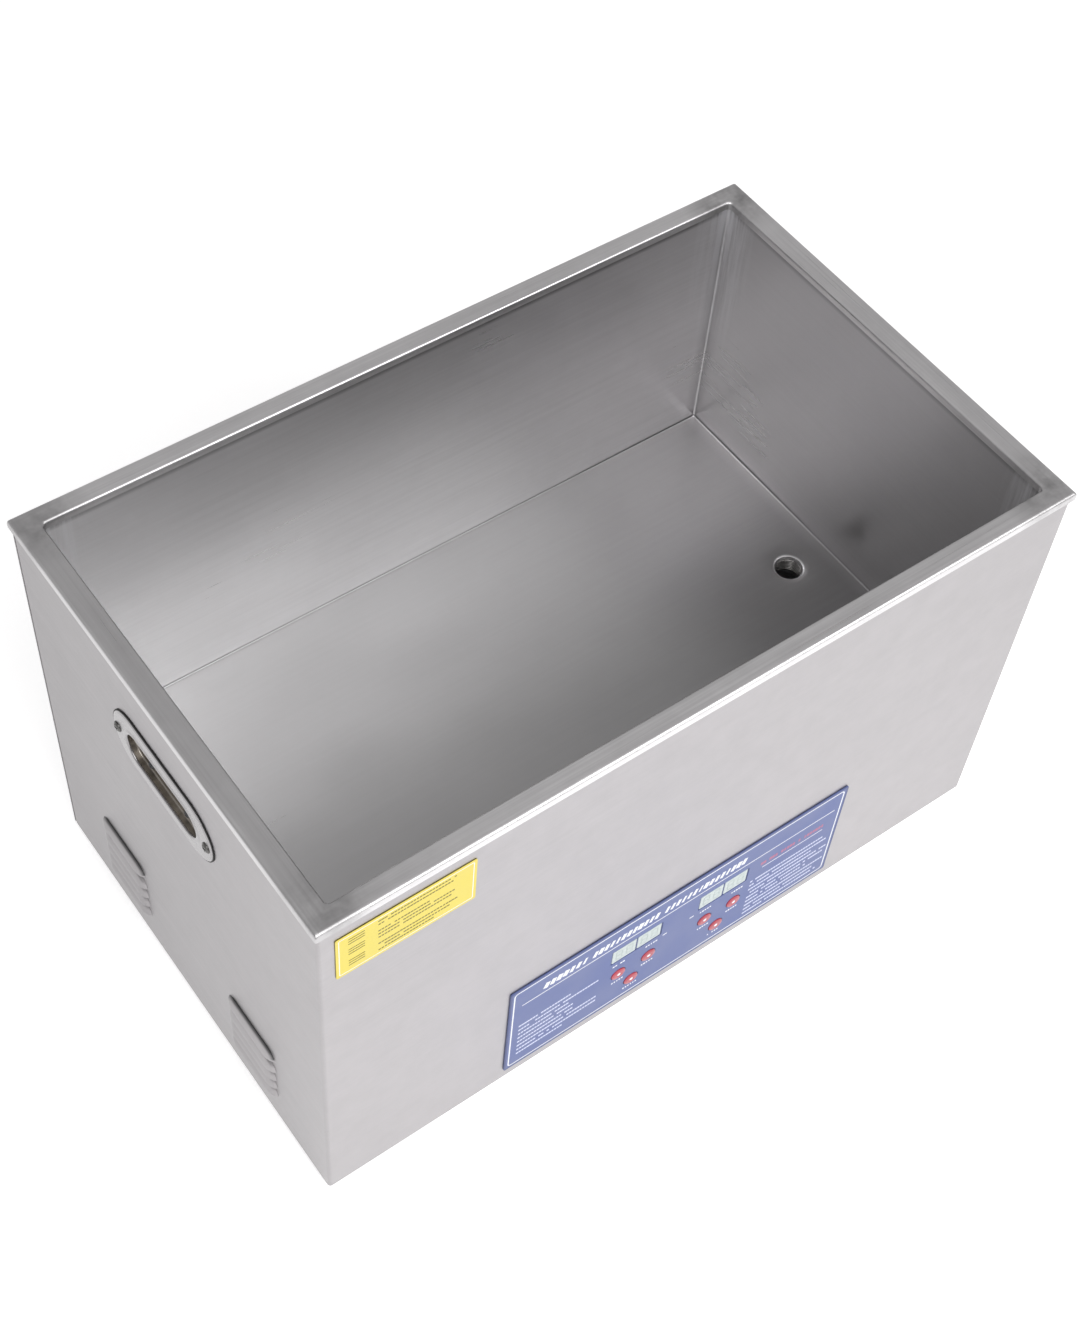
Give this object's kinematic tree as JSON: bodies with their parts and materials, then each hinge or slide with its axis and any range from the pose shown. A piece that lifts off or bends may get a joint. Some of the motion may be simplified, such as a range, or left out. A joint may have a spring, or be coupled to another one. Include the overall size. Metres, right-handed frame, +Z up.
{
  "type": "ultrasonic cleaner",
  "caption": "Bench-top ultrasonic cleaner: rectangular stainless tank hung in a folded steel case, with a front control panel, flush side handles, louvres and a side drain valve.",
  "frame": {"origin": "centre of the bounding box on the plane the four feet stand on; the case's own centre is 31 mm towards -X, because the drain valve stands out on the +X side", "axes": "+X along the tank's length towards the drain valve, -Y out of the control panel, +Z up"},
  "size_m": [0.5966, 0.3251, 0.325],
  "materials": {
    "case_steel": "satin brushed stainless sheet",
    "tank_steel": "satin stainless sheet, pickled welds",
    "bright_steel": "polished stainless",
    "aluminium": "turned",
    "nickelled_brass": "nickel plated",
    "panel_blue": "satin printed film",
    "red_plastic": "moulded",
    "display_lens": "pale diffusing window",
    "black_plastic": "moulded",
    "rubber": "moulded",
    "circuit_board": "solder mask",
    "heating_pad": "silicone",
    "valve_seat": "white low-friction plastic",
    "yellow_film": "printed film",
    "winding": "varnished copper winding on a ferrite core"
  },
  "bodies": {
    "case": {"base_tray": "case_steel", "control_board": "circuit_board", "control_panel": "panel_blue", "drain_lock_nut": "nickelled_brass", "drain_pipe": "tank_steel", "fan_frame": "black_plastic", "foot_front_left": "rubber", "foot_front_right": "rubber", "foot_rear_left": "rubber", "foot_rear_right": "rubber", "generator_board": "circuit_board", "handle_left": "bright_steel", "handle_left_screw_front": "bright_steel", "handle_left_screw_rear": "bright_steel", "handle_right": "bright_steel", "handle_right_screw_front": "bright_steel", "handle_right_screw_rear": "bright_steel", "heat_display": "display_lens", "heat_sink": "aluminium", "heating_pad_front": "heating_pad", "heating_pad_rear": "heating_pad", "outer_shell": "case_steel", "output_transformer": "winding", "power_inlet": "black_plastic", "rear_panel": "case_steel", "rim_frame": "case_steel", "switch_housing": "black_plastic", "tank": "tank_steel", "temperature_sensor": "aluminium", "timer_display": "display_lens", "transducer_01": "aluminium", "transducer_02": "aluminium", "transducer_03": "aluminium", "transducer_04": "aluminium", "transducer_05": "aluminium", "transducer_06": "aluminium", "transducer_07": "aluminium", "transducer_08": "aluminium", "transducer_09": "aluminium", "transducer_10": "aluminium", "valve_body": "nickelled_brass", "valve_end": "nickelled_brass", "valve_seat_inner": "valve_seat", "valve_seat_outer": "valve_seat", "yellow_label": "yellow_film"},
    "button_timer_start": {"timer_start_button": "red_plastic"},
    "button_timer_up": {"timer_up_button": "red_plastic"},
    "button_timer_down": {"timer_down_button": "red_plastic"},
    "button_heat_start": {"heat_start_button": "red_plastic"},
    "button_heat_up": {"heat_up_button": "red_plastic"},
    "button_heat_down": {"heat_down_button": "red_plastic"},
    "rocker": {"switch_rocker": "red_plastic"},
    "fan": {"fan_rotor": "black_plastic"},
    "valve_handle": {"valve_lever": "bright_steel", "lever_grip": "red_plastic", "lever_nut": "bright_steel", "valve_stem": "bright_steel", "valve_ball": "bright_steel"}
  },
  "joints": [
    {"name": "timer_start_press", "type": "slide", "parent": "case", "child": "button_timer_start", "axis": [0, 1, 0], "range_m": [0, 0.0008], "stiffness_N_per_m": 1500},
    {"name": "timer_up_press", "type": "slide", "parent": "case", "child": "button_timer_up", "axis": [0, 1, 0], "range_m": [0, 0.0008], "stiffness_N_per_m": 1500},
    {"name": "timer_down_press", "type": "slide", "parent": "case", "child": "button_timer_down", "axis": [0, 1, 0], "range_m": [0, 0.0008], "stiffness_N_per_m": 1500},
    {"name": "heat_start_press", "type": "slide", "parent": "case", "child": "button_heat_start", "axis": [0, 1, 0], "range_m": [0, 0.0008], "stiffness_N_per_m": 1500},
    {"name": "heat_up_press", "type": "slide", "parent": "case", "child": "button_heat_up", "axis": [0, 1, 0], "range_m": [0, 0.0008], "stiffness_N_per_m": 1500},
    {"name": "heat_down_press", "type": "slide", "parent": "case", "child": "button_heat_down", "axis": [0, 1, 0], "range_m": [0, 0.0008], "stiffness_N_per_m": 1500},
    {"name": "switch_rock", "type": "hinge", "parent": "case", "child": "rocker", "pos_m": [0.07385, 0.1565, 0.062], "axis": [1, 0, 0], "range_deg": [0, 18]},
    {"name": "fan_spin", "type": "hinge", "parent": "case", "child": "fan", "pos_m": [-0.18115, 0.1479, 0.068], "axis": [0, 1, 0], "continuous": true},
    {"name": "valve_turn", "type": "hinge", "parent": "case", "child": "valve_handle", "pos_m": [0.26235, 0, 0.085], "axis": [0, 0, 1], "range_deg": [0, 90]}
  ]
}
